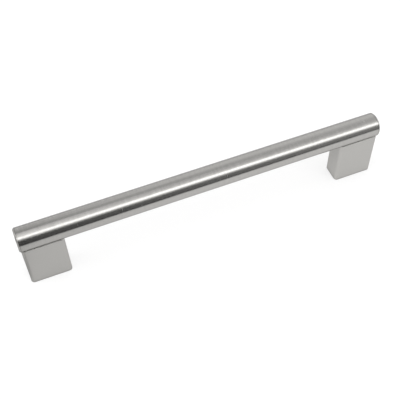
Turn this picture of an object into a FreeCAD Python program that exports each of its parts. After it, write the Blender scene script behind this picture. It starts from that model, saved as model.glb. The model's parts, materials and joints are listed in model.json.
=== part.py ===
import FreeCAD, Part
import math
import os

# T bar cabinet pull: a round tube carried by two block posts, each joined to it by a screw from below.
# Sizes are millimetres. X runs along the bar, Y across it and Z away from the door front.
# The origin lies on the door front, midway between the two holes that fasten the pull.

# Bar
hole_spacing = 192.0
bar_diameter = 14.0
tube_wall = 1.0
tube_edge_break = 0.15
bar_overhang = 0.75
finger_height = 28.0

# Plugs that close the tube
plug_flange = 1.1
plug_rim_bevel = 0.8
plug_clearance = 0.05
plug_past_screw = 7.0
plug_lead_in = 0.5

# Posts
post_length = 24.0
post_depth = 12.5
post_corner_radius = 2.0
post_edge_radius = 0.3
saddle_depth = 3.0
saddle_clearance = 0.05

# Threaded hole that fastens each post to the door
mount_radius = 2.0
mount_depth = 14.0
mount_entry = 0.4
drill_point_angle = 118.0

# Screw that joins each post to its plug
screw_radius = 2.0
screw_length = 14.0
screw_tip_break = 0.5
head_radius = 3.5
head_height = 2.6
head_edge_radius = 0.3
recess_span = 4.4
recess_width = 0.9
recess_depth = 1.7
recess_foot = 0.35
web_thickness = 8.0
outer_wall = 1.3
head_clearance = 0.2
through_clearance = 0.25
thread_clearance = 0.05
tap_past_tip = 1.5

# Places worked out from the sizes above
bar_radius = bar_diameter / 2
bore_radius = bar_radius - tube_wall
axis_height = finger_height + bar_radius
post_centre = hole_spacing / 2
bar_end = post_centre + post_length / 2 + bar_overhang
tube_end = bar_end - plug_flange
counterbore_radius = head_radius + head_clearance
screw_place = post_centre + post_length / 2 - outer_wall - counterbore_radius
seat_height = finger_height - web_thickness
screw_tip = seat_height + screw_length
through_radius = screw_radius + through_clearance

ALONG = FreeCAD.Vector(1, 0, 0)
UP = FreeCAD.Vector(0, 0, 1)
CENTRE = FreeCAD.Vector(0, 0, 0)
TOLERANCE = 1e-6


def upright(radius, x, low, high):
    """Cylinder about the upright line at x, from low to high."""
    return Part.makeCylinder(radius, high - low, FreeCAD.Vector(x, 0, low), UP)


def lengthwise(radius, start, end):
    """Cylinder about the bar's axis, from start to end along X."""
    return Part.makeCylinder(radius, end - start, FreeCAD.Vector(start, 0, axis_height), ALONG)


def edges_between(shape, low, high):
    """Edges of a shape that lie wholly between two heights."""
    floor = low - TOLERANCE
    ceiling = high + TOLERANCE
    return [edge for edge in shape.Edges if edge.BoundBox.ZMin > floor and edge.BoundBox.ZMax < ceiling]


def upright_edges(shape, length):
    """Straight edges of a block that run its whole height."""
    return [edge for edge in shape.Edges if edge.BoundBox.ZLength > length - TOLERANCE]


def edges_at(shape, x):
    """Edges of a round piece that lie in the plane across the bar at x."""
    return [edge for edge in shape.Edges
            if abs(edge.BoundBox.XMin - x) < TOLERANCE and abs(edge.BoundBox.XMax - x) < TOLERANCE]


def make_bar_tube():
    """Tube with a broken outer edge at each end and a screw hole under it near each end."""
    tube = lengthwise(bar_radius, -tube_end, tube_end)
    tube = tube.makeChamfer(tube_edge_break, edges_at(tube, -tube_end) + edges_at(tube, tube_end))
    tube = tube.cut(lengthwise(bore_radius, -bar_end, bar_end))
    for side in (-1, 1):
        tube = tube.cut(upright(through_radius, side * screw_place, 0, axis_height))
    return tube


def make_end_plug():
    """Right-hand plug: a flange with a bevelled rim, and a spigot that is tapped for the screw."""
    spigot_radius = bore_radius - plug_clearance
    spigot_end = screw_place - plug_past_screw
    flange = lengthwise(bar_radius, tube_end, bar_end)
    flange = flange.makeChamfer(plug_rim_bevel, edges_at(flange, bar_end))
    spigot = lengthwise(spigot_radius, spigot_end, tube_end)
    spigot = spigot.makeChamfer(plug_lead_in, edges_at(spigot, spigot_end))
    plug = flange.fuse(spigot)
    return plug.cut(upright(screw_radius, screw_place, 0, screw_tip + tap_past_tip))


def make_mount_hole():
    """Space of the right-hand threaded hole: a broken mouth, the bore and the drill's point."""
    point_height = mount_radius / math.tan(math.radians(drill_point_angle / 2))
    mouth_radius = mount_radius + mount_entry
    mouth = Part.makeCone(mouth_radius, mount_radius, mount_entry, FreeCAD.Vector(post_centre, 0, 0), UP)
    bore = upright(mount_radius, post_centre, 0, mount_depth)
    point = Part.makeCone(mount_radius, 0, point_height, FreeCAD.Vector(post_centre, 0, mount_depth), UP)
    return bore.fuse([mouth, point])


def make_post():
    """Right-hand block post with its saddle, threaded hole and counterbored screw hole."""
    post_top = finger_height + saddle_depth
    corner = FreeCAD.Vector(post_centre - post_length / 2, -post_depth / 2, 0)
    block = Part.makeBox(post_length, post_depth, post_top, corner)
    block = block.makeFillet(post_corner_radius, upright_edges(block, post_top))
    rims = edges_between(block, 0, 0) + edges_between(block, post_top, post_top)
    block = block.makeFillet(post_edge_radius, rims)
    saddle = lengthwise(bar_radius + saddle_clearance, post_centre - post_length, post_centre + post_length)
    counterbore = upright(counterbore_radius, screw_place, 0, seat_height)
    screw_hole = upright(through_radius, screw_place, 0, axis_height)
    return block.cut([saddle, make_mount_hole(), counterbore, screw_hole])


def make_recess():
    """Cross recess in the head of the right-hand screw, narrower at its foot than at its mouth."""
    mouth = seat_height - head_height
    foot = mouth + recess_depth
    half_span = recess_span / 2
    half_foot = half_span * recess_foot
    corners = [(-half_span, mouth), (half_span, mouth), (half_foot, foot), (-half_foot, foot)]
    outline = [FreeCAD.Vector(screw_place + across, -recess_width / 2, height) for across, height in corners]
    blade = Part.Face(Part.makePolygon(outline + outline[:1])).extrude(FreeCAD.Vector(0, recess_width, 0))
    other = blade.copy()
    other.rotate(FreeCAD.Vector(screw_place, 0, 0), UP, 90)
    return blade.fuse(other)


def make_fixing_screw():
    """Right-hand cheese-head screw, its head below the web and its shank up in the plug."""
    shank = upright(screw_radius - thread_clearance, screw_place, seat_height, screw_tip)
    shank = shank.makeChamfer(screw_tip_break, edges_between(shank, screw_tip, screw_tip))
    head_base = seat_height - head_height
    head = upright(head_radius, screw_place, head_base, seat_height)
    head = head.makeFillet(head_edge_radius, edges_between(head, head_base, head_base))
    return head.fuse(shank).cut(make_recess())


def save(name, shape):
    """Write one sub-part and print what it measures."""
    solids = shape.Solids
    if len(solids) != 1 or not shape.isValid():
        raise RuntimeError(f"{name}: {len(solids)} solids, valid {shape.isValid()}")
    solids[0].exportStep(os.path.join("parts", f"{name}.step"))
    print(f"{name}: {solids[0].Volume:.1f} mm3")


def main():
    """Build every piece, the left-hand ones as mirror images of the right-hand ones."""
    os.makedirs("parts", exist_ok=True)
    save("bar_tube", make_bar_tube())
    pairs = {"end_plug": make_end_plug(), "post": make_post(), "fixing_screw": make_fixing_screw()}
    for name, shape in pairs.items():
        save(f"{name}_right", shape)
        save(f"{name}_left", shape.mirror(CENTRE, ALONG))


main()
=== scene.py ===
"""Looks of a T bar cabinet pull: a brushed tube on two satin block posts, on a white studio floor.

Lengths are metres. X runs along the bar, Y across it and Z up, away from the face that the pull is
screwed to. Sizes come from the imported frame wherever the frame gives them.
"""
import json
import logging
import math
from dataclasses import dataclass
from enum import Enum
from typing import Any

import bpy
from mathutils import Matrix, Vector


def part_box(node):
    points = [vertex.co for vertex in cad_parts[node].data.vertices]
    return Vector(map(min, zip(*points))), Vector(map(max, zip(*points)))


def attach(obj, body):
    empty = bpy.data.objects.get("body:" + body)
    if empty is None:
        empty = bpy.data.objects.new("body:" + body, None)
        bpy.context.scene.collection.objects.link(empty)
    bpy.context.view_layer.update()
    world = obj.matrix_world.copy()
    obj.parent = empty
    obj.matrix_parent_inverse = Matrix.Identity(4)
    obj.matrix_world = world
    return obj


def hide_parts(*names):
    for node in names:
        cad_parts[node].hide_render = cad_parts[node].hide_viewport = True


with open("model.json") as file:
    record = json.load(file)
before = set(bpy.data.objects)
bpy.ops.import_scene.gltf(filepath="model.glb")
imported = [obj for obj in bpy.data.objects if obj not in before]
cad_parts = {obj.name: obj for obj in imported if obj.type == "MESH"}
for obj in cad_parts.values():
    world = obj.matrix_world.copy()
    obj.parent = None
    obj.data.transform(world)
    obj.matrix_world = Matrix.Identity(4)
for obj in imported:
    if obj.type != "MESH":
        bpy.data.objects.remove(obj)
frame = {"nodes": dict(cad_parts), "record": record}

MM = 0.001
BODY = "root"
SIDES = {"left": -1, "right": 1}
BRUSH_MAP = "along_bar"

# Two faces that meet at more than this many degrees keep a sharp edge.
SHARP_ANGLE = 30.0
# A face is a flat end of a turned piece when its normal points along the bar by at least this much.
FLAT_END = 0.99
# Lengths up to this one count as none where points are joined or heights compared.
TINY = 0.001 * MM
# Two whole numbers are the same when they differ by less than this.
SAME_NUMBER = 0.1
# Steps of a broken edge that is one flat, and of one that looks round.
CHAMFER_STEPS = 1
ROUND_STEPS = 4
# Octaves of the small and of the slow pattern on the metal, and how rough the brushed lines' small one is.
FINE_DETAIL = 3.0
BROAD_DETAIL = 2.0
LINE_ROUGHNESS = 0.6
# Rate at which the slow pattern changes along the bar, where the brushed lines' small one has 1.
BROAD_PACE = 0.18
# Shares of the two patterns in the surface, and the mean of their sum.
FINE_SHARE = 0.6
BROAD_SHARE = 0.4
PATTERN_MEAN = 0.5

log =logging.getLogger("cabinet_pull")

Colour = tuple[float, float, float]
Point = tuple[float, float, float]


class Kind(Enum):
    """What an input or output of a node group holds, by Blender's socket type."""

    GEOMETRY = "NodeSocketGeometry"
    NUMBER = "NodeSocketFloat"
    COUNT = "NodeSocketInt"
    FINISH = "NodeSocketMaterial"
    COLOUR = "NodeSocketColor"
    PLACE = "NodeSocketVector"


class Graph:
    """Adds nodes to one node tree and links them, so that a tree reads as its steps."""

    def __init__(self, tree: bpy.types.NodeTree) -> None:
        """Start on a tree.

        Args:
            tree: the node tree to add to.
        """
        self.tree = tree

    def put(self, socket: bpy.types.NodeSocket, value: Any) -> None:
        """Link a socket to another one, or set its value.

        Args:
            socket: the input to fill.
            value: an output socket to link from, a list of them for an input that takes several,
                or a plain value.
        """
        if isinstance(value, list):
            for each in value:
                self.tree.links.new(each, socket)
        elif isinstance(value, bpy.types.NodeSocket):
            self.tree.links.new(value, socket)
        elif socket.type == "RGBA" and len(value) == 3:
            socket.default_value = (*value, 1.0)
        else:
            socket.default_value = value

    def add(self, kind: str, inputs: dict | None = None, **settings: Any) -> bpy.types.Node:
        """Add one node.

        Args:
            kind: Blender's type name of the node.
            inputs: what its inputs get, by socket name or number.
            settings: the node's own settings, set before its inputs.

        Returns:
            The new node.
        """
        node = self.tree.nodes.new(kind)
        for name, value in settings.items():
            setattr(node, name, value)
        for key, value in (inputs or {}).items():
            self.put(node.inputs[key], value)
        return node

    def get(self, kind: str, inputs: dict | None = None, **settings: Any) -> bpy.types.NodeSocket:
        """Add one node as add does, and return its first output."""
        return self.add(kind, inputs, **settings).outputs[0]

    def math(self, operation: str, *values: Any) -> bpy.types.NodeSocket:
        """Add a Math node.

        Args:
            operation: such as ADD, MULTIPLY or ARCTAN2.
            values: its one to three inputs, in order.

        Returns:
            The socket with the result.
        """
        return self.get("ShaderNodeMath", dict(enumerate(values)), operation=operation)

    def vector(self, x: Any = 0.0, y: Any = 0.0, z: Any = 0.0) -> bpy.types.NodeSocket:
        """Join three numbers, plain or linked, into a vector."""
        return self.get("ShaderNodeCombineXYZ", {"X": x, "Y": y, "Z": z})

    def parts(self, vector: bpy.types.NodeSocket) -> Any:
        """Split a vector. The outputs are named X, Y and Z."""
        return self.add("ShaderNodeSeparateXYZ", {0: vector}).outputs

    def between(self, value: Any, low: Any, high: Any, first: Any = 0.0,
                last: Any = 1.0) -> bpy.types.NodeSocket:
        """Go smoothly from one level to another while a value goes from low to high.

        Args:
            value: the value that drives the change.
            low: where the change starts.
            high: where it ends.
            first: the level below it.
            last: the level above it.

        Returns:
            The socket with the level.
        """
        return self.get("ShaderNodeMapRange", {0: value, 1: low, 2: high, 3: first, 4: last},
                        interpolation_type="SMOOTHSTEP")


class Group(Graph):
    """A node group with named inputs and outputs, under construction."""

    def __init__(self, name: str, family: str, inputs: dict[str, Kind], outputs: dict[str, Kind]) -> None:
        """Make the empty group.

        Args:
            name: the group's name.
            family: GeometryNodeTree or ShaderNodeTree.
            inputs: each input's name and kind.
            outputs: each output's name and kind.
        """
        super().__init__(bpy.data.node_groups.new(name, family))
        for label, kind in outputs.items():
            self.tree.interface.new_socket(label, in_out="OUTPUT", socket_type=kind.value)
        for label, kind in inputs.items():
            self.tree.interface.new_socket(label, in_out="INPUT", socket_type=kind.value)
        self.given = self.tree.nodes.new("NodeGroupInput").outputs
        self.result = self.tree.nodes.new("NodeGroupOutput").inputs


class ShapeGroup(Group):
    """A geometry tree that makes one piece from named sizes and gives it its finish."""

    def __init__(self, name: str, sizes: tuple[str, ...], counts: tuple[str, ...]) -> None:
        """Make the empty tree.

        Args:
            name: the tree's name.
            sizes: the names of the inputs that are lengths, ratios or places.
            counts: the names of the inputs that are whole numbers.
        """
        inputs = dict.fromkeys(sizes, Kind.NUMBER) | dict.fromkeys(counts, Kind.COUNT)
        super().__init__(name, "GeometryNodeTree", inputs | {"Finish": Kind.FINISH},
                         {"Geometry": Kind.GEOMETRY})

    def moved(self, geometry: Any, place: Any = (0.0, 0.0, 0.0), turn: Point = (0.0, 0.0, 0.0),
              ) -> bpy.types.NodeSocket:
        """Turn geometry by angles in radians, then move it."""
        return self.get("GeometryNodeTransform",
                        {"Geometry": geometry, "Translation": place, "Rotation": turn})

    def spot(self) -> Any:
        """The coordinates of each point, as outputs named X, Y and Z."""
        return self.parts(self.get("GeometryNodeInputPosition"))

    def outline(self, corners: list[tuple[Any, Any]], ring: Any) -> bpy.types.NodeSocket:
        """Join corners to an open line that a sweep round an upright ring turns into a solid's skin.

        Args:
            corners: each corner's distance from the axis and its height, plain or linked.
            ring: radius of the ring that the line is swept round.

        Returns:
            The line, lying as a profile does: outwards is X, and up is minus Y.
        """
        choice = self.add("GeometryNodeIndexSwitch", data_type="VECTOR")
        while len(choice.index_switch_items) < len(corners):
            choice.index_switch_items.new()
        self.put(choice.inputs[0], self.get("GeometryNodeInputIndex"))
        for number, (out, height) in enumerate(corners):
            self.put(choice.inputs[number + 1], self.vector(
                self.math("SUBTRACT", out, ring), self.math("MULTIPLY", height, -1.0)))
        points = self.get("GeometryNodePoints", {"Count": len(corners), "Position": choice.outputs[0]})
        return self.get("GeometryNodePointsToCurves", {"Points": points})

    def only(self, number: int, value: Any) -> bpy.types.NodeSocket:
        """Give a value at one control point of a line and zero at all others."""
        here = self.math("COMPARE", self.get("GeometryNodeInputIndex"), float(number), SAME_NUMBER)
        return self.math("MULTIPLY", here, value)

    def deliver(self, geometry: bpy.types.NodeSocket) -> bpy.types.NodeTree:
        """End the tree: make its geometry real and set its material.

        Args:
            geometry: what the tree has made.

        Returns:
            The finished tree.
        """
        solid = self.get("GeometryNodeRealizeInstances", {0: geometry})
        dressed = self.get("GeometryNodeSetMaterial", {"Geometry": solid, "Material": self.given["Finish"]})
        self.put(self.result["Geometry"], dressed)
        return self.tree


def grow(name: str, tree: bpy.types.NodeTree, values: dict[str, Any]) -> bpy.types.Object:
    """Run a geometry tree once and keep its result as a plain mesh.

    Args:
        name: the name of the new piece.
        tree: the tree that makes its shape.
        values: what each of the tree's named inputs gets.

    Returns:
        The piece, with no modifier left on it.
    """
    piece = bpy.data.objects.new(name, bpy.data.meshes.new(name))
    bpy.context.scene.collection.objects.link(piece)
    modifier = piece.modifiers.new("shape", "NODES")
    modifier.node_group = tree
    for item in tree.interface.items_tree:
        if item.in_out == "INPUT":
            modifier[item.identifier] = values[item.name]
    bpy.context.view_layer.update()
    shaped = piece.evaluated_get(bpy.context.evaluated_depsgraph_get())
    mesh = bpy.data.meshes.new_from_object(shaped)
    piece.modifiers.remove(modifier)
    piece.data = mesh
    mesh.name = name
    mesh.shade_smooth()
    mesh.set_sharp_from_angle(angle=math.radians(SHARP_ANGLE))
    log.info("%s: %d faces", name, len(mesh.polygons))
    return piece


def dress(node: str, finish: bpy.types.Material) -> None:
    """Give a piece of the frame a finish in place of its plain one."""
    mesh = frame["nodes"][node].data
    mesh.materials.clear()
    mesh.materials.append(finish)
    log.info("%s: dressed in %s", node, finish.name)


def map_turned(node: str, axis_height: float) -> None:
    """Give a turned piece of the frame the map that a brushed finish follows.

    Its first coordinate runs along the axis and down the bevel, and the second one round the axis. The flat
    end is brushed straight across, so its first coordinate runs upwards and its second one sideways.

    Args:
        node: the piece.
        axis_height: height of the axis that it is turned about.
    """
    mesh = frame["nodes"][node].data
    layer = mesh.uv_layers.new(name=BRUSH_MAP)
    for face in mesh.polygons:
        flat = abs(face.normal.x) > FLAT_END
        first = None
        for corner in face.loop_indices:
            spot = mesh.vertices[mesh.loops[corner].vertex_index].co
            up = spot.z - axis_height
            turn = math.atan2(spot.y, up) / math.tau
            first = turn if first is None else first
            skin = ((abs(spot.x) - math.hypot(spot.y, up)) / axis_height, turn - round(turn - first))
            layer.data[corner].uv = (up / axis_height, spot.y / axis_height) if flat else skin


def brushed_lines() -> bpy.types.NodeTree:
    """Build the group of fine lines that an abrasive belt leaves round a turning bar.

    Returns:
        The group, with a colour, a roughness and a height that change from line to line.
    """
    group = Group("brushed_lines", "ShaderNodeTree", {
        "Place": Kind.PLACE, "Tint": Kind.COLOUR, "Spacing": Kind.NUMBER, "Length": Kind.NUMBER,
        "Contrast": Kind.NUMBER, "Roughness": Kind.NUMBER, "Spread": Kind.NUMBER,
    }, {"Colour": Kind.COLOUR, "Roughness": Kind.NUMBER, "Height": Kind.NUMBER})
    given = group.given
    place = group.parts(given["Place"])
    along = group.math("DIVIDE", place["X"], given["Spacing"])
    across = group.math("DIVIDE", place["Y"], given["Length"])
    upward = group.math("DIVIDE", place["Z"], given["Length"])
    fine = group.get("ShaderNodeTexNoise", {
        "Vector": group.vector(along, across, upward), "Scale": 1.0, "Detail": FINE_DETAIL,
        "Roughness": LINE_ROUGHNESS})
    slow = group.math("MULTIPLY", along, BROAD_PACE)
    broad = group.get("ShaderNodeTexNoise", {
        "Vector": group.vector(slow, across, upward), "Scale": 1.0, "Detail": BROAD_DETAIL})
    blend_marks(group, fine, broad)
    return group.tree


def satin_grain() -> bpy.types.NodeTree:
    """Build the group of even fine grain, as plating over a tumbled casting has it.

    Returns:
        The group, with a colour, a roughness and a height.
    """
    group = Group("satin_grain", "ShaderNodeTree", {
        "Place": Kind.PLACE, "Tint": Kind.COLOUR, "Grain": Kind.NUMBER, "Cloud": Kind.NUMBER,
        "Contrast": Kind.NUMBER, "Roughness": Kind.NUMBER, "Spread": Kind.NUMBER,
    }, {"Colour": Kind.COLOUR, "Roughness": Kind.NUMBER, "Height": Kind.NUMBER})
    given = group.given
    fine = group.get("ShaderNodeTexNoise", {
        "Vector": given["Place"], "Scale": group.math("DIVIDE", 1.0, given["Grain"]),
        "Detail": FINE_DETAIL})
    cloud = group.get("ShaderNodeTexNoise", {
        "Vector": given["Place"], "Scale": group.math("DIVIDE", 1.0, given["Cloud"]),
        "Detail": BROAD_DETAIL})
    blend_marks(group, fine, cloud)
    return group.tree


def blend_marks(group: Group, fine: bpy.types.NodeSocket, broad: bpy.types.NodeSocket) -> None:
    """Turn a fine and a broad pattern into a surface group's three outputs.

    Args:
        group: the group, with inputs Tint, Contrast, Roughness and Spread.
        fine: the small marks, from 0 to 1. They also give the height.
        broad: the slow changes, from 0 to 1.
    """
    given = group.given
    both = group.math("ADD", group.math("MULTIPLY", fine, FINE_SHARE),
                      group.math("MULTIPLY", broad, BROAD_SHARE))
    centred = group.math("SUBTRACT", both, PATTERN_MEAN)
    shade = group.math("MULTIPLY_ADD", centred, given["Contrast"], 1.0)
    group.put(group.result["Colour"], group.get(
        "ShaderNodeVectorMath", {0: given["Tint"], "Scale": shade}, operation="SCALE"))
    group.put(group.result["Roughness"],
              group.math("MULTIPLY_ADD", centred, given["Spread"], given["Roughness"]))
    group.put(group.result["Height"], fine)


@dataclass(frozen=True)
class Finish:
    """A plated metal surface. Its group gives colour, roughness and height; the rest is the same all over."""

    name: str
    tint: Colour
    roughness: float
    contrast: float
    spread: float
    relief: float
    edge_tint: Colour = (0.75, 0.75, 0.75)
    anisotropy: float = 0.0
    tangent_map: str = ""

    def pattern(self) -> dict[str, float]:
        """Return what the finish's group needs beside the inputs that all such groups have."""
        raise NotImplementedError

    def build(self, group: bpy.types.NodeTree) -> bpy.types.Material:
        """Make the material.

        Args:
            group: the shader group that gives the surface its lines or grain.

        Returns:
            The material.
        """
        material = bpy.data.materials.new(self.name)
        material.use_nodes = True
        graph = Graph(material.node_tree)
        graph.tree.nodes.clear()
        place = graph.add("ShaderNodeTexCoord").outputs["Object"]
        marks = graph.add("ShaderNodeGroup", node_tree=group)
        common = {"Place": place, "Tint": self.tint, "Contrast": self.contrast,
                  "Roughness": self.roughness, "Spread": self.spread}
        for key, value in (common | self.pattern()).items():
            graph.put(marks.inputs[key], value)
        bump = graph.get("ShaderNodeBump", {
            "Strength": 1.0, "Distance": self.relief, "Height": marks.outputs["Height"]})
        metal = graph.add("ShaderNodeBsdfPrincipled", {
            "Base Color": marks.outputs["Colour"], "Metallic": 1.0,
            "Roughness": marks.outputs["Roughness"], "Specular Tint": self.edge_tint,
            "Anisotropic": self.anisotropy, "Normal": bump})
        if self.tangent_map:
            graph.put(metal.inputs["Tangent"], graph.get(
                "ShaderNodeTangent", direction_type="UV_MAP", uv_map=self.tangent_map))
        graph.add("ShaderNodeOutputMaterial", {"Surface": metal.outputs[0]})
        return material


@dataclass(frozen=True)
class BrushedFinish(Finish):
    """Satin nickel brushed round the girth."""

    spacing: float = 0.35 * MM
    length: float = 7.0 * MM

    def pattern(self) -> dict[str, float]:
        """Return the lines' spacing along the bar and their length round it."""
        return {"Spacing": self.spacing, "Length": self.length}


@dataclass(frozen=True)
class SatinFinish(Finish):
    """Fine satin plating on a casting or a turned piece."""

    grain: float = 0.12 * MM
    cloud: float = 2.5 * MM

    def pattern(self) -> dict[str, float]:
        """Return the sizes of the grain and of the slow clouding."""
        return {"Grain": self.grain, "Cloud": self.cloud}


@dataclass
class BarTube:
    """The brushed tube. It stands for the plain tube of the frame, swept round its axis in fine steps."""

    half_length: float
    radius: float
    axis_height: float
    hole_place: float
    wall: float = 1.0 * MM
    edge_break: float = 0.15 * MM
    hole_radius: float = 2.25 * MM
    sides: int = 160
    spans: int = 60
    drill_sides: int = 64

    def tree(self) -> bpy.types.NodeTree:
        """Build the geometry tree: a rectangle is swept round a circle and drilled twice from below.

        Returns:
            The tree, with every size as a named input.
        """
        group = ShapeGroup("turned_tube", (
            "Half Length", "Radius", "Wall", "Edge Break", "Axis Height", "Hole Place", "Hole Radius",
        ), ("Sides", "Spans", "Drill Sides"))
        given = group.given
        section = group.get("GeometryNodeCurvePrimitiveQuadrilateral", {
            "Width": given["Wall"], "Height": group.math("MULTIPLY", given["Half Length"], 2.0)})
        lengthwise = group.math("MODULO", group.get("GeometryNodeInputIndex"), 2.0)
        section = group.get("GeometryNodeSubdivideCurve", {
            "Curve": section, "Cuts": group.math("MULTIPLY", lengthwise, given["Spans"])})
        spot = group.spot()
        at_end = group.math("GREATER_THAN", group.math("ABSOLUTE", spot["Y"]),
                            group.math("SUBTRACT", given["Half Length"], given["Edge Break"]))
        outer_corner = group.math("MULTIPLY", at_end, group.math("GREATER_THAN", spot["X"], 0.0))
        section = group.get("GeometryNodeFilletCurve", {
            "Curve": section, "Count": CHAMFER_STEPS,
            "Radius": group.math("MULTIPLY", outer_corner, given["Edge Break"])}, mode="POLY")
        middle = group.math("SUBTRACT", given["Radius"], group.math("MULTIPLY", given["Wall"], 0.5))
        ring = group.get("GeometryNodeCurvePrimitiveCircle",
                         {"Resolution": given["Sides"], "Radius": middle})
        tube = group.get("GeometryNodeCurveToMesh", {"Curve": ring, "Profile Curve": section})
        lying = group.moved(tube, group.vector(z=given["Axis Height"]), (0.0, math.pi / 2, 0.0))
        drill = group.get("GeometryNodeMeshCylinder", {
            "Vertices": given["Drill Sides"], "Radius": given["Hole Radius"],
            "Depth": group.math("MULTIPLY", given["Radius"], 2.0)})
        depth = group.math("SUBTRACT", given["Axis Height"], given["Radius"])
        drills = [group.moved(drill, group.vector(
            group.math("MULTIPLY", given["Hole Place"], float(side)), 0.0, depth))
            for side in SIDES.values()]
        drilled = group.get("GeometryNodeMeshBoolean", {"Mesh 1": lying, "Mesh 2": drills},
                            operation="DIFFERENCE", solver="EXACT")
        spot = group.spot()
        round_bar = group.math("ARCTAN2", spot["Y"], group.math("SUBTRACT", spot["Z"], given["Axis Height"]))
        mapped = group.get("GeometryNodeStoreNamedAttribute", {
            "Geometry": drilled, "Name": BRUSH_MAP, "Value": group.vector(
                group.math("DIVIDE", spot["X"], given["Half Length"]),
                group.math("DIVIDE", round_bar, math.tau))}, data_type="FLOAT2", domain="CORNER")
        return group.deliver(mapped)

    def make(self, finish: bpy.types.Material) -> bpy.types.Object:
        """Make the tube and put it in the place of the frame's own.

        Args:
            finish: the brushed material.

        Returns:
            The new piece.
        """
        piece = grow("brushed_tube", self.tree(), {
            "Half Length": self.half_length, "Radius": self.radius, "Wall": self.wall,
            "Edge Break": self.edge_break, "Axis Height": self.axis_height,
            "Hole Place": self.hole_place, "Hole Radius": self.hole_radius,
            "Sides": self.sides, "Spans": self.spans, "Drill Sides": self.drill_sides, "Finish": finish})
        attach(piece, BODY)
        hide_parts("bar_tube")
        return piece


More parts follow.
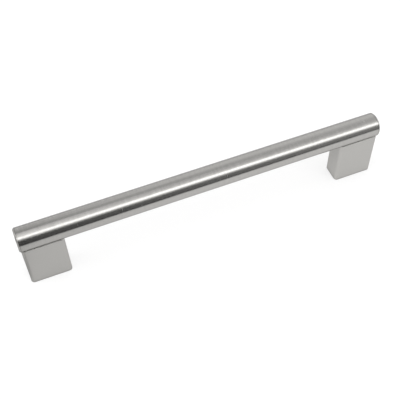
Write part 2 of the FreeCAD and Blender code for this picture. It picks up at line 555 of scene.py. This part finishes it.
@dataclass
class FixingScrew:
    """A cheese-head machine screw that draws a post up to its plug: turned, threaded, with a cross recess."""

    place: float
    head_base: float
    tip: float
    head_radius: float = 3.5 * MM
    head_height: float = 2.6 * MM
    head_edge: float = 0.3 * MM
    shank_radius: float = 1.95 * MM
    tip_break: float = 0.5 * MM
    neck: float = 0.9 * MM
    pitch: float = 0.7 * MM
    thread_depth: float = 0.4 * MM
    recess_span: float = 4.4 * MM
    recess_width: float = 0.9 * MM
    recess_depth: float = 1.7 * MM
    recess_foot: float = 0.35
    sides: int = 48
    rows: int = 170

    def tree(self) -> bpy.types.NodeTree:
        """Build the geometry tree: an outline is turned, threaded, and cut by two tapered blades.

        Returns:
            The tree, with every size as a named input.
        """
        group = ShapeGroup("machine_screw", (
            "Place", "Head Base", "Tip", "Head Radius", "Head Height", "Head Edge", "Shank Radius",
            "Tip Break", "Neck", "Pitch", "Thread Depth", "Recess Span", "Recess Width", "Recess Depth",
            "Recess Foot",
        ), ("Sides", "Rows"))
        given = group.given
        seat = group.math("ADD", given["Head Base"], given["Head Height"])
        thread_end = group.math("SUBTRACT", given["Tip"], given["Tip Break"])
        line = group.outline([
            (0.0, given["Head Base"]), (given["Head Radius"], given["Head Base"]),
            (given["Head Radius"], seat), (given["Shank Radius"], seat), (given["Shank Radius"], thread_end),
            (group.math("SUBTRACT", given["Shank Radius"], given["Tip Break"]), given["Tip"]),
            (0.0, given["Tip"])], given["Shank Radius"])
        line = group.get("GeometryNodeSubdivideCurve", {
            "Curve": line, "Cuts": group.only(3, given["Rows"])})
        line = group.get("GeometryNodeFilletCurve", {
            "Curve": line, "Count": ROUND_STEPS,
            "Radius": group.only(1, given["Head Edge"])}, mode="POLY")
        ring = group.get("GeometryNodeCurvePrimitiveCircle", {
            "Resolution": given["Sides"], "Radius": given["Shank Radius"]})
        turned = group.get("GeometryNodeCurveToMesh", {"Curve": ring, "Profile Curve": line})
        closed = group.get("GeometryNodeMergeByDistance", {"Geometry": turned, "Distance": TINY})
        threaded = self.cut_thread(group, closed, seat, thread_end)
        blade = group.get("GeometryNodeMeshCube", {"Size": group.vector(
            given["Recess Span"], given["Recess Width"], group.math("MULTIPLY", given["Recess Depth"], 2.0))})
        spot = group.spot()
        narrow = group.math("MULTIPLY_ADD", group.math("GREATER_THAN", spot["Z"], 0.0),
                            group.math("SUBTRACT", given["Recess Foot"], 1.0), 1.0)
        wide = group.math("SUBTRACT", 2.0, given["Recess Foot"])
        scale = group.get("ShaderNodeMix", {2: narrow, 3: wide, 0: group.math("LESS_THAN", spot["Z"], 0.0)})
        blade = group.get("GeometryNodeSetPosition", {"Geometry": blade, "Position": group.vector(
            group.math("MULTIPLY", spot["X"], scale), spot["Y"], spot["Z"])})
        foot = group.vector(z=given["Head Base"])
        blades = [group.moved(blade, foot), group.moved(blade, foot, (0.0, 0.0, math.pi / 2))]
        cut = group.get("GeometryNodeMeshBoolean", {"Mesh 1": threaded, "Mesh 2": blades},
                        operation="DIFFERENCE", solver="EXACT")
        return group.deliver(group.moved(cut, group.vector(given["Place"])))

    def cut_thread(self, group: ShapeGroup, shank: bpy.types.NodeSocket, seat: bpy.types.NodeSocket,
                   thread_end: bpy.types.NodeSocket) -> bpy.types.NodeSocket:
        """Sink the shank's skin along a right-handed helix, between the plain neck and the broken tip.

        Args:
            group: the screw's tree.
            shank: the turned blank, upright on the axis.
            seat: height of the head's seat.
            thread_end: height where the tip's break starts.

        Returns:
            The threaded blank.
        """
        given = group.given
        spot = group.spot()
        round_axis = group.math("DIVIDE", group.math("ARCTAN2", spot["Y"], spot["X"]), math.tau)
        turns = group.math("SUBTRACT", group.math("DIVIDE", spot["Z"], given["Pitch"]), round_axis)
        flank = group.math("MULTIPLY", group.math("PINGPONG", turns, 0.5), 2.0)
        start = group.math("ADD", seat, given["Neck"])
        run_in = group.between(spot["Z"], start, group.math("ADD", start, given["Pitch"]))
        run_out = group.math("LESS_THAN", spot["Z"], group.math("ADD", thread_end, TINY))
        depth = group.math("MULTIPLY", group.math("MULTIPLY", flank, given["Thread Depth"]),
                           group.math("MULTIPLY", run_in, run_out))
        shrink = group.math("SUBTRACT", 1.0, group.math("DIVIDE", depth, given["Shank Radius"]))
        return group.get("GeometryNodeSetPosition", {"Geometry": shank, "Position": group.vector(
            group.math("MULTIPLY", spot["X"], shrink), group.math("MULTIPLY", spot["Y"], shrink), spot["Z"])})

    def make(self, name: str, stands_for: str, finish: bpy.types.Material) -> bpy.types.Object:
        """Make the screw and put it in the place of the frame's own.

        Args:
            name: the new piece's name.
            stands_for: the node of the frame that it takes the place of.
            finish: the plated material.

        Returns:
            The new piece.
        """
        piece = grow(name, self.tree(), {
            "Place": self.place, "Head Base": self.head_base, "Tip": self.tip,
            "Head Radius": self.head_radius, "Head Height": self.head_height, "Head Edge": self.head_edge,
            "Shank Radius": self.shank_radius, "Tip Break": self.tip_break, "Neck": self.neck,
            "Pitch": self.pitch, "Thread Depth": self.thread_depth, "Recess Span": self.recess_span,
            "Recess Width": self.recess_width, "Recess Depth": self.recess_depth,
            "Recess Foot": self.recess_foot, "Sides": self.sides, "Rows": self.rows, "Finish": finish})
        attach(piece, BODY)
        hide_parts(stands_for)
        return piece


@dataclass
class MountThread:
    """The thread's ridge in the hole under a post, where the screw through the door holds the pull."""

    place: float
    radius: float
    mouth: float = 0.45 * MM
    length: float = 11.9 * MM
    pitch: float = 0.7 * MM
    ridge: float = 0.34 * MM
    root_width: float = 0.6 * MM
    crest_width: float = 0.12 * MM
    sunk: float = 0.04 * MM
    steps: int = 32

    def tree(self) -> bpy.types.NodeTree:
        """Build the geometry tree: a ridge with slanting flanks is swept up a helix.

        Returns:
            The tree, with every size as a named input.
        """
        group = ShapeGroup("threaded_hole", (
            "Place", "Radius", "Mouth", "Length", "Pitch", "Ridge", "Root Width", "Crest Width", "Sunk",
        ), ("Steps",))
        given = group.given
        outer = group.math("ADD", given["Radius"], given["Sunk"])
        helix = group.get("GeometryNodeCurveSpiral", {
            "Resolution": given["Steps"], "Rotations": group.math("DIVIDE", given["Length"], given["Pitch"]),
            "Start Radius": outer, "End Radius": outer, "Height": given["Length"]})
        helix = group.get("GeometryNodeSetCurveNormal", {"Curve": helix}, mode="Z_UP")
        height = group.math("ADD", given["Ridge"], given["Sunk"])
        section = group.get("GeometryNodeCurvePrimitiveQuadrilateral", {
            "Bottom Width": given["Root Width"], "Top Width": given["Crest Width"], "Offset": 0.0,
            "Height": height}, mode="TRAPEZOID")
        section = group.moved(section, group.vector(group.math("MULTIPLY", height, 0.5)),
                              (0.0, 0.0, -math.pi / 2))
        thread = group.get("GeometryNodeCurveToMesh", {
            "Curve": helix, "Profile Curve": section, "Fill Caps": True})
        start = group.math("MULTIPLY_ADD", given["Root Width"], 0.5, given["Mouth"])
        return group.deliver(group.moved(thread, group.vector(given["Place"], 0.0, start)))

    def make(self, name: str, finish: bpy.types.Material) -> bpy.types.Object:
        """Make the ridge of one hole.

        Args:
            name: the new piece's name.
            finish: the post's material.

        Returns:
            The new piece.
        """
        piece = grow(name, self.tree(), {
            "Place": self.place, "Radius": self.radius, "Mouth": self.mouth, "Length": self.length,
            "Pitch": self.pitch, "Ridge": self.ridge, "Root Width": self.root_width,
            "Crest Width": self.crest_width, "Sunk": self.sunk, "Steps": self.steps, "Finish": finish})
        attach(piece, BODY)
        return piece


@dataclass(frozen=True)
class Band:
    """A soft band of the room's light that runs over the pull from side to side.

    Its bounds are angles in degrees: 0 is the horizon in front of the room, 90 is overhead and 180 is the
    horizon behind. A band may end on its right, between two places from -1 (far left) to 1 (far right).
    """

    start: float
    end: float
    start_blur: float
    end_blur: float
    level: float
    right_end: tuple[float, float] | None = None

    def light(self, graph: Graph, angle: bpy.types.NodeSocket,
              across: bpy.types.NodeSocket) -> bpy.types.NodeSocket:
        """Work out the band's light in one direction.

        Args:
            graph: the room's tree.
            angle: the direction's angle in degrees.
            across: how far to the right it points, from -1 to 1.

        Returns:
            The socket with the light.
        """
        rise = graph.between(
            angle, self.start - self.start_blur, self.start + self.start_blur, 0.0, self.level)
        fall = graph.between(
            angle, self.end - self.end_blur, self.end + self.end_blur, 1.0, 0.0)
        light = graph.math("MULTIPLY", rise, fall)
        if self.right_end is None:
            return light
        return graph.math("MULTIPLY", light, graph.between(across, *self.right_end, 1.0, 0.0))


@dataclass
class Studio:
    """The white floor and the soft light of the room round the pull, which stands turned in it."""

    # Degrees by which the room is turned about the pull.
    turn: float = 30.0
    floor_width: float = 3.0
    floor_drop: float = 0.02 * MM
    # The floor as the camera sees it: how much it reflects, and the light added so that it is white.
    floor_albedo: float = 0.40
    floor_lift: float = 0.70
    # The floor as the metal sees it: a painted pool of light round the pull. These are its colour in the
    # pool, the near-black painted shade it falls to beyond the pool in front, and the two distances in front
    # of the pull between which it falls.
    mirrored_albedo: float = 0.25
    painted_shade_floor: float = 0.01
    pool_edge: float = 0.137
    pool_end: float = 0.265
    # The pool's painted glow, a light that the floor gives off only to the metal. It rises from the pool's
    # left end to its middle, with painted shade as a dim gap beside the left post.
    glow_span: tuple[float, float] = (-0.13, 0.0)
    glow_levels: tuple[float, float] = (0.575, 0.72)
    glow_gap: float = -0.1185
    glow_gap_reach: float = 0.0145
    glow_in_gap: float = 0.5
    # Where the painted glow changes from the front of the pull to its back, and its level there, which paints
    # shade behind the pull.
    glow_back: tuple[float, float] = (-0.003, 0.018)
    glow_behind: float = 0.82
    # The painted glow fades this close to what stands on the floor, as a painted contact shadow.
    contact: float = 1.5 * MM
    contact_samples: int = 8
    # The even grey at both sides of the room, and how far aside it starts and is full.
    side_level: float = 1.2
    side_start: float = 0.32
    side_end: float = 1.89
    bands: tuple[Band, ...] = (
        Band(-180.0, 47.0, 1.0, 1.95, 0.037),
        Band(60.7, 71.3, 23.9, 3.4, 5.813),
        Band(60.7, 71.3, 23.9, 3.4, -1.539, right_end=(0.0, 0.647)),
        Band(42.9, 64.4, 3.0, 3.4, -0.382, right_end=(0.315, 0.913)),
        Band(71.3, 400.0, 3.4, 1.0, 0.883),
        Band(71.3, 103.4, 3.4, 1.0, 0.745, right_end=(-0.31, 0.31)),
        Band(89.0, 127.1, 1.1, 23.5, -0.523, right_end=(-0.70, 1.62)),
        Band(96.0, 164.8, 1.3, 1.0, -0.337, right_end=(-0.526, -0.228)),
    )

    def room(self) -> None:
        """Light the scene with the bands, which fade to an even grey at both sides, on a white background."""
        world = bpy.data.worlds.new("studio")
        bpy.context.scene.world = world
        world.use_nodes = True
        graph = Graph(world.node_tree)
        graph.tree.nodes.clear()
        way = graph.parts(graph.get("ShaderNodeVectorRotate", {
            "Vector": graph.add("ShaderNodeTexCoord").outputs["Generated"], "Angle": math.radians(self.turn)},
            rotation_type="Z_AXIS"))
        angle = graph.math("DEGREES", graph.math(
            "ARCTAN2", way["Z"], graph.math("MULTIPLY", way["Y"], -1.0)))
        total = self.bands[0].light(graph, angle, way["X"])
        for band in self.bands[1:]:
            total = graph.math("ADD", total, band.light(graph, angle, way["X"]))
        aside = graph.between(graph.math("ABSOLUTE", way["X"]), self.side_start, self.side_end)
        soft = graph.get("ShaderNodeMix", {2: total, 3: self.side_level, 0: aside})
        seen = graph.add("ShaderNodeLightPath").outputs["Is Camera Ray"]
        level = graph.get("ShaderNodeMix", {2: soft, 3: 1.0, 0: seen})
        light = graph.get("ShaderNodeBackground", {"Color": (1.0, 1.0, 1.0), "Strength": level})
        graph.add("ShaderNodeOutputWorld", {"Surface": light})

    def floor(self) -> bpy.types.Object:
        """Lay the floor: white to the camera but for the pull's shadow. To the metal, its colour and glow
        paint a pool of light round the pull, with painted shade in front of it, behind it and next to its
        feet.

        Returns:
            The floor.
        """
        half = self.floor_width / 2
        mesh = bpy.data.meshes.new("floor")
        corners = [(-half, -half), (half, -half), (half, half), (-half, half)]
        mesh.from_pydata([(x, y, -self.floor_drop) for x, y in corners], [], [(0, 1, 2, 3)])
        floor = bpy.data.objects.new("floor", mesh)
        bpy.context.scene.collection.objects.link(floor)
        material = bpy.data.materials.new("floor_white")
        material.use_nodes = True
        graph = Graph(material.node_tree)
        graph.tree.nodes.clear()
        place = graph.parts(graph.add("ShaderNodeTexCoord").outputs["Object"])
        # Painted pool of light: to all but camera rays, the floor's colour falls from the pool's level to
        # painted shade in front of the pull.
        painted_pool = graph.between(place["Y"], -self.pool_end, -self.pool_edge, 0.0, 1.0)
        way = graph.add("ShaderNodeLightPath").outputs
        mirrored_painted_pool = graph.get("ShaderNodeMix", {2: self.painted_shade_floor, 3: self.mirrored_albedo, 0: painted_pool})
        albedo_and_painted_pool = graph.get("ShaderNodeMix", {2: mirrored_painted_pool, 3: self.floor_albedo, 0: way["Is Camera Ray"]})
        matt = graph.get("ShaderNodeBsdfDiffuse", {"Color": graph.vector(albedo_and_painted_pool, albedo_and_painted_pool, albedo_and_painted_pool)})
        # Painted contact shadow: ambient occlusion dims the glow next to the posts' feet.
        clear = graph.add("ShaderNodeAmbientOcclusion", {"Distance": self.contact},
                          samples=self.contact_samples).outputs["AO"]
        # Painted glow: light that the floor gives off only to glossy rays, in the pool, with painted shade
        # next to what stands on it, beside the left post and behind the pull.
        painted_glow = graph.math("MULTIPLY", graph.math("MULTIPLY", way["Is Glossy Ray"], painted_pool), clear)
        painted_glow = graph.math("MULTIPLY", painted_glow, graph.between(place["X"], *self.glow_span, *self.glow_levels))
        from_gap = graph.math("ABSOLUTE", graph.math("SUBTRACT", place["X"], self.glow_gap))
        painted_glow = graph.math("MULTIPLY", painted_glow, graph.between(
            from_gap, 0.0, self.glow_gap_reach, self.glow_in_gap, 1.0))
        # Painted shade behind the pull: the glow is lower behind the bar.
        painted_glow = graph.math("MULTIPLY", painted_glow, graph.between(
            place["Y"], *self.glow_back, 1.0, self.glow_behind))
        # Emission: an even lift to white for camera rays, and the painted glow for glossy rays.
        white_lift_and_painted_glow = graph.get("ShaderNodeEmission", {"Color": (1.0, 1.0, 1.0), "Strength": graph.math(
            "MULTIPLY_ADD", way["Is Camera Ray"], self.floor_lift, painted_glow)})
        graph.add("ShaderNodeOutputMaterial", {
            "Surface": graph.get("ShaderNodeAddShader", {0: matt, 1: white_lift_and_painted_glow})})
        mesh.materials.append(material)
        return floor


@dataclass(frozen=True)
class Viewpoint:
    """The camera: its place, what it looks at on the floor, its roll in degrees and its lens in mm."""

    place: Point = (-99.15 * MM, -251.32 * MM, 374.15 * MM)
    aim: Point = (1.457 * MM, 11.985 * MM, 0.0)
    roll: float = -1.377
    focal_length: float = 69.284
    sensor: float = 36.0

    def set_up(self) -> None:
        """Add the camera and make it the scene's."""
        data = bpy.data.cameras.new("camera")
        data.lens = self.focal_length
        data.sensor_width = self.sensor
        camera = bpy.data.objects.new("camera", data)
        bpy.context.scene.collection.objects.link(camera)
        ahead = Vector(self.aim) - Vector(self.place)
        turned = ahead.to_track_quat("-Z", "Y").to_matrix() @ Matrix.Rotation(math.radians(self.roll), 3, "Z")
        camera.matrix_world = Matrix.Translation(Vector(self.place)) @ turned.to_4x4()
        bpy.context.scene.camera = camera


def main() -> None:
    """Build the pull's looks, light it and set up the camera."""
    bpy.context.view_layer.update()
    scene = bpy.context.scene
    scene.view_settings.view_transform = "Standard"

    lines = brushed_lines()
    grain = satin_grain()
    nickel = (0.505, 0.497, 0.480)
    brushed = BrushedFinish("brushed_nickel", nickel, roughness=0.26, contrast=0.35, spread=0.08,
                            relief=0.0008 * MM, edge_tint=(0.72, 0.72, 0.72), anisotropy=0.55,
                            tangent_map=BRUSH_MAP).build(lines)
    satin = SatinFinish("satin_nickel", (0.55, 0.541, 0.522), roughness=0.36, contrast=0.06, spread=0.1,
                        relief=0.002 * MM).build(grain)
    zinc = SatinFinish("zinc_plate", (0.62, 0.63, 0.64), roughness=0.28, contrast=0.06, spread=0.1,
                       relief=0.001 * MM).build(grain)

    plug_low, plug_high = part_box("end_plug_right")
    screw_low, screw_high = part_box("fixing_screw_right")
    screw_place = (screw_low.x + screw_high.x) / 2
    tube = BarTube(half_length=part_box("bar_tube")[1].x, radius=(plug_high.z - plug_low.z) / 2,
                   axis_height=(plug_high.z + plug_low.z) / 2, hole_place=screw_place)
    tube.make(brushed)
    holes = {mount["name"]: mount for mount in frame["record"]["mounts"]}
    for side, way in SIDES.items():
        dress(f"post_{side}", satin)
        dress(f"end_plug_{side}", brushed)
        map_turned(f"end_plug_{side}", tube.axis_height)
        screw = FixingScrew(place=way * screw_place, head_base=screw_low.z, tip=screw_high.z)
        screw.make(f"cheese_head_screw_{side}", f"fixing_screw_{side}", zinc)
        hole = holes[f"thread_{side}"]
        thread = MountThread(place=hole["pos_m"][0], radius=hole["dims"]["r_mm"] * MM)
        thread.make(f"mount_thread_{side}", satin)

    studio = Studio()
    studio.room()
    studio.floor()
    Viewpoint().set_up()


if __name__ == "__main__":
    logging.basicConfig(level=logging.INFO, format="%(name)s: %(message)s")
    main()
